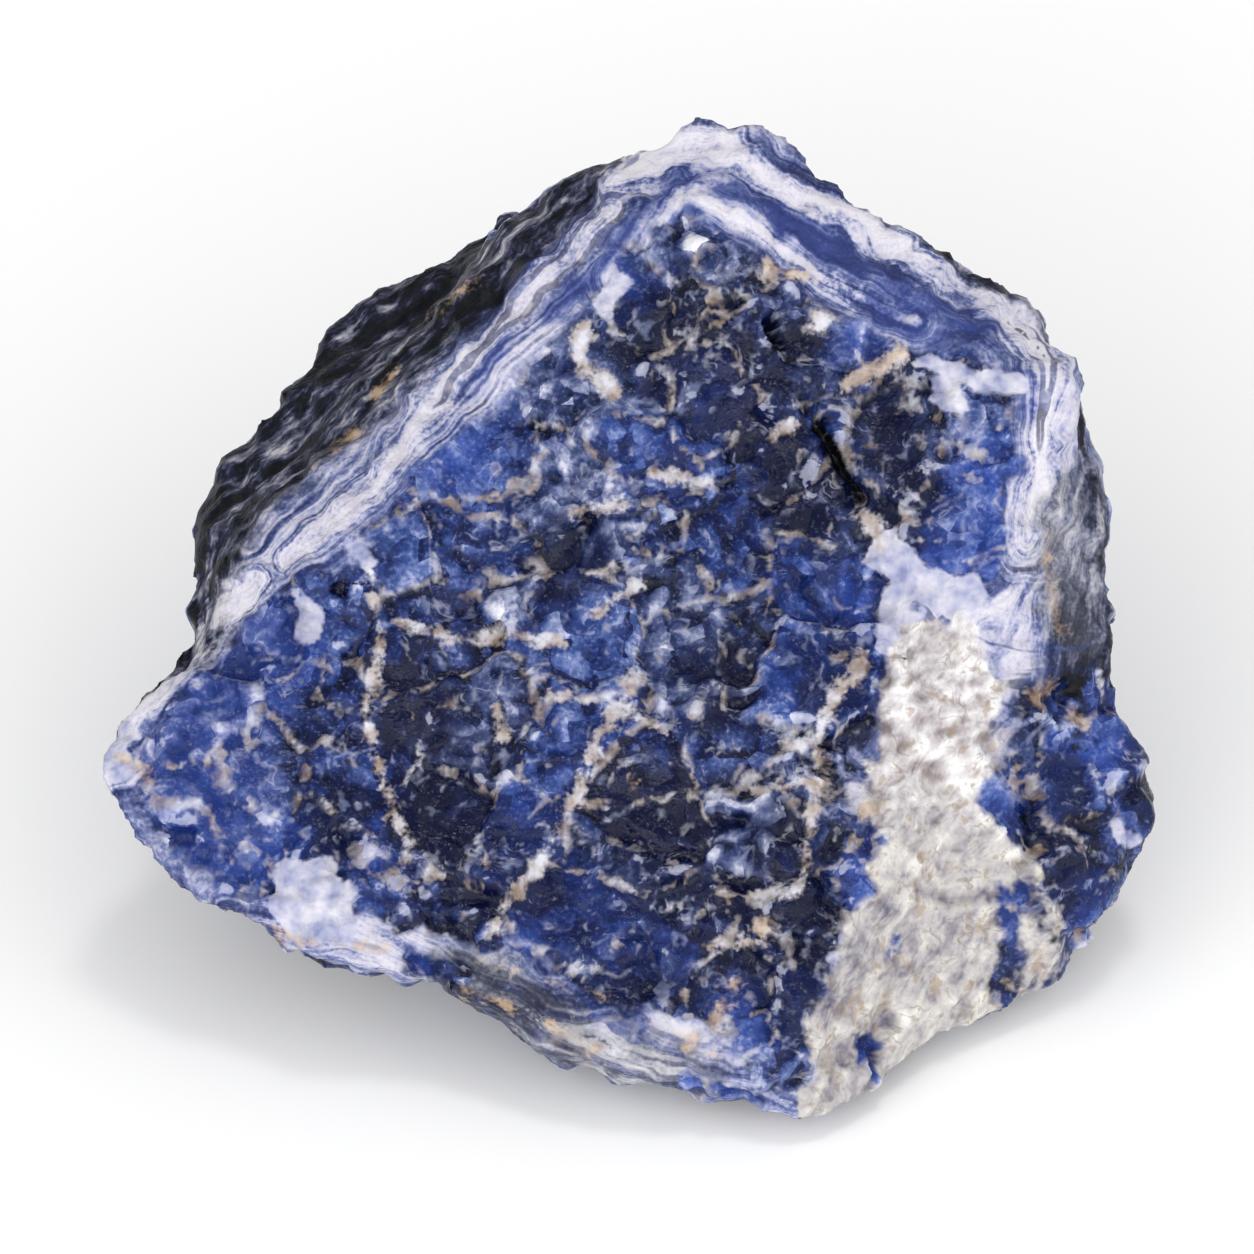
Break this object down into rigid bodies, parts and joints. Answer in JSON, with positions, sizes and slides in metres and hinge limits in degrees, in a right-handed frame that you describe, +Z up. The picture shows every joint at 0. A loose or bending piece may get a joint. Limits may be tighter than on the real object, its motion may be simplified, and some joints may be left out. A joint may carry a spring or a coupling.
{
  "type": "rough sodalite stone",
  "caption": "Broken angular lump of rough sodalite: a broad slanting fracture face with a crest, sloping sides and a small flat spot to rest on.",
  "frame": {"origin": "centre of the lump's outer box, on the surface that it rests on", "axes": "+X along the lump's length, +Y away from the foot of the broad fracture face towards its crest, +Z up from the flat spot that it rests on"},
  "size_m": [0.052, 0.0454, 0.0295],
  "materials": {
    "sodalite": "rough"
  },
  "bodies": {
    "root": {"sodalite_lump": "sodalite"}
  },
  "joints": []
}
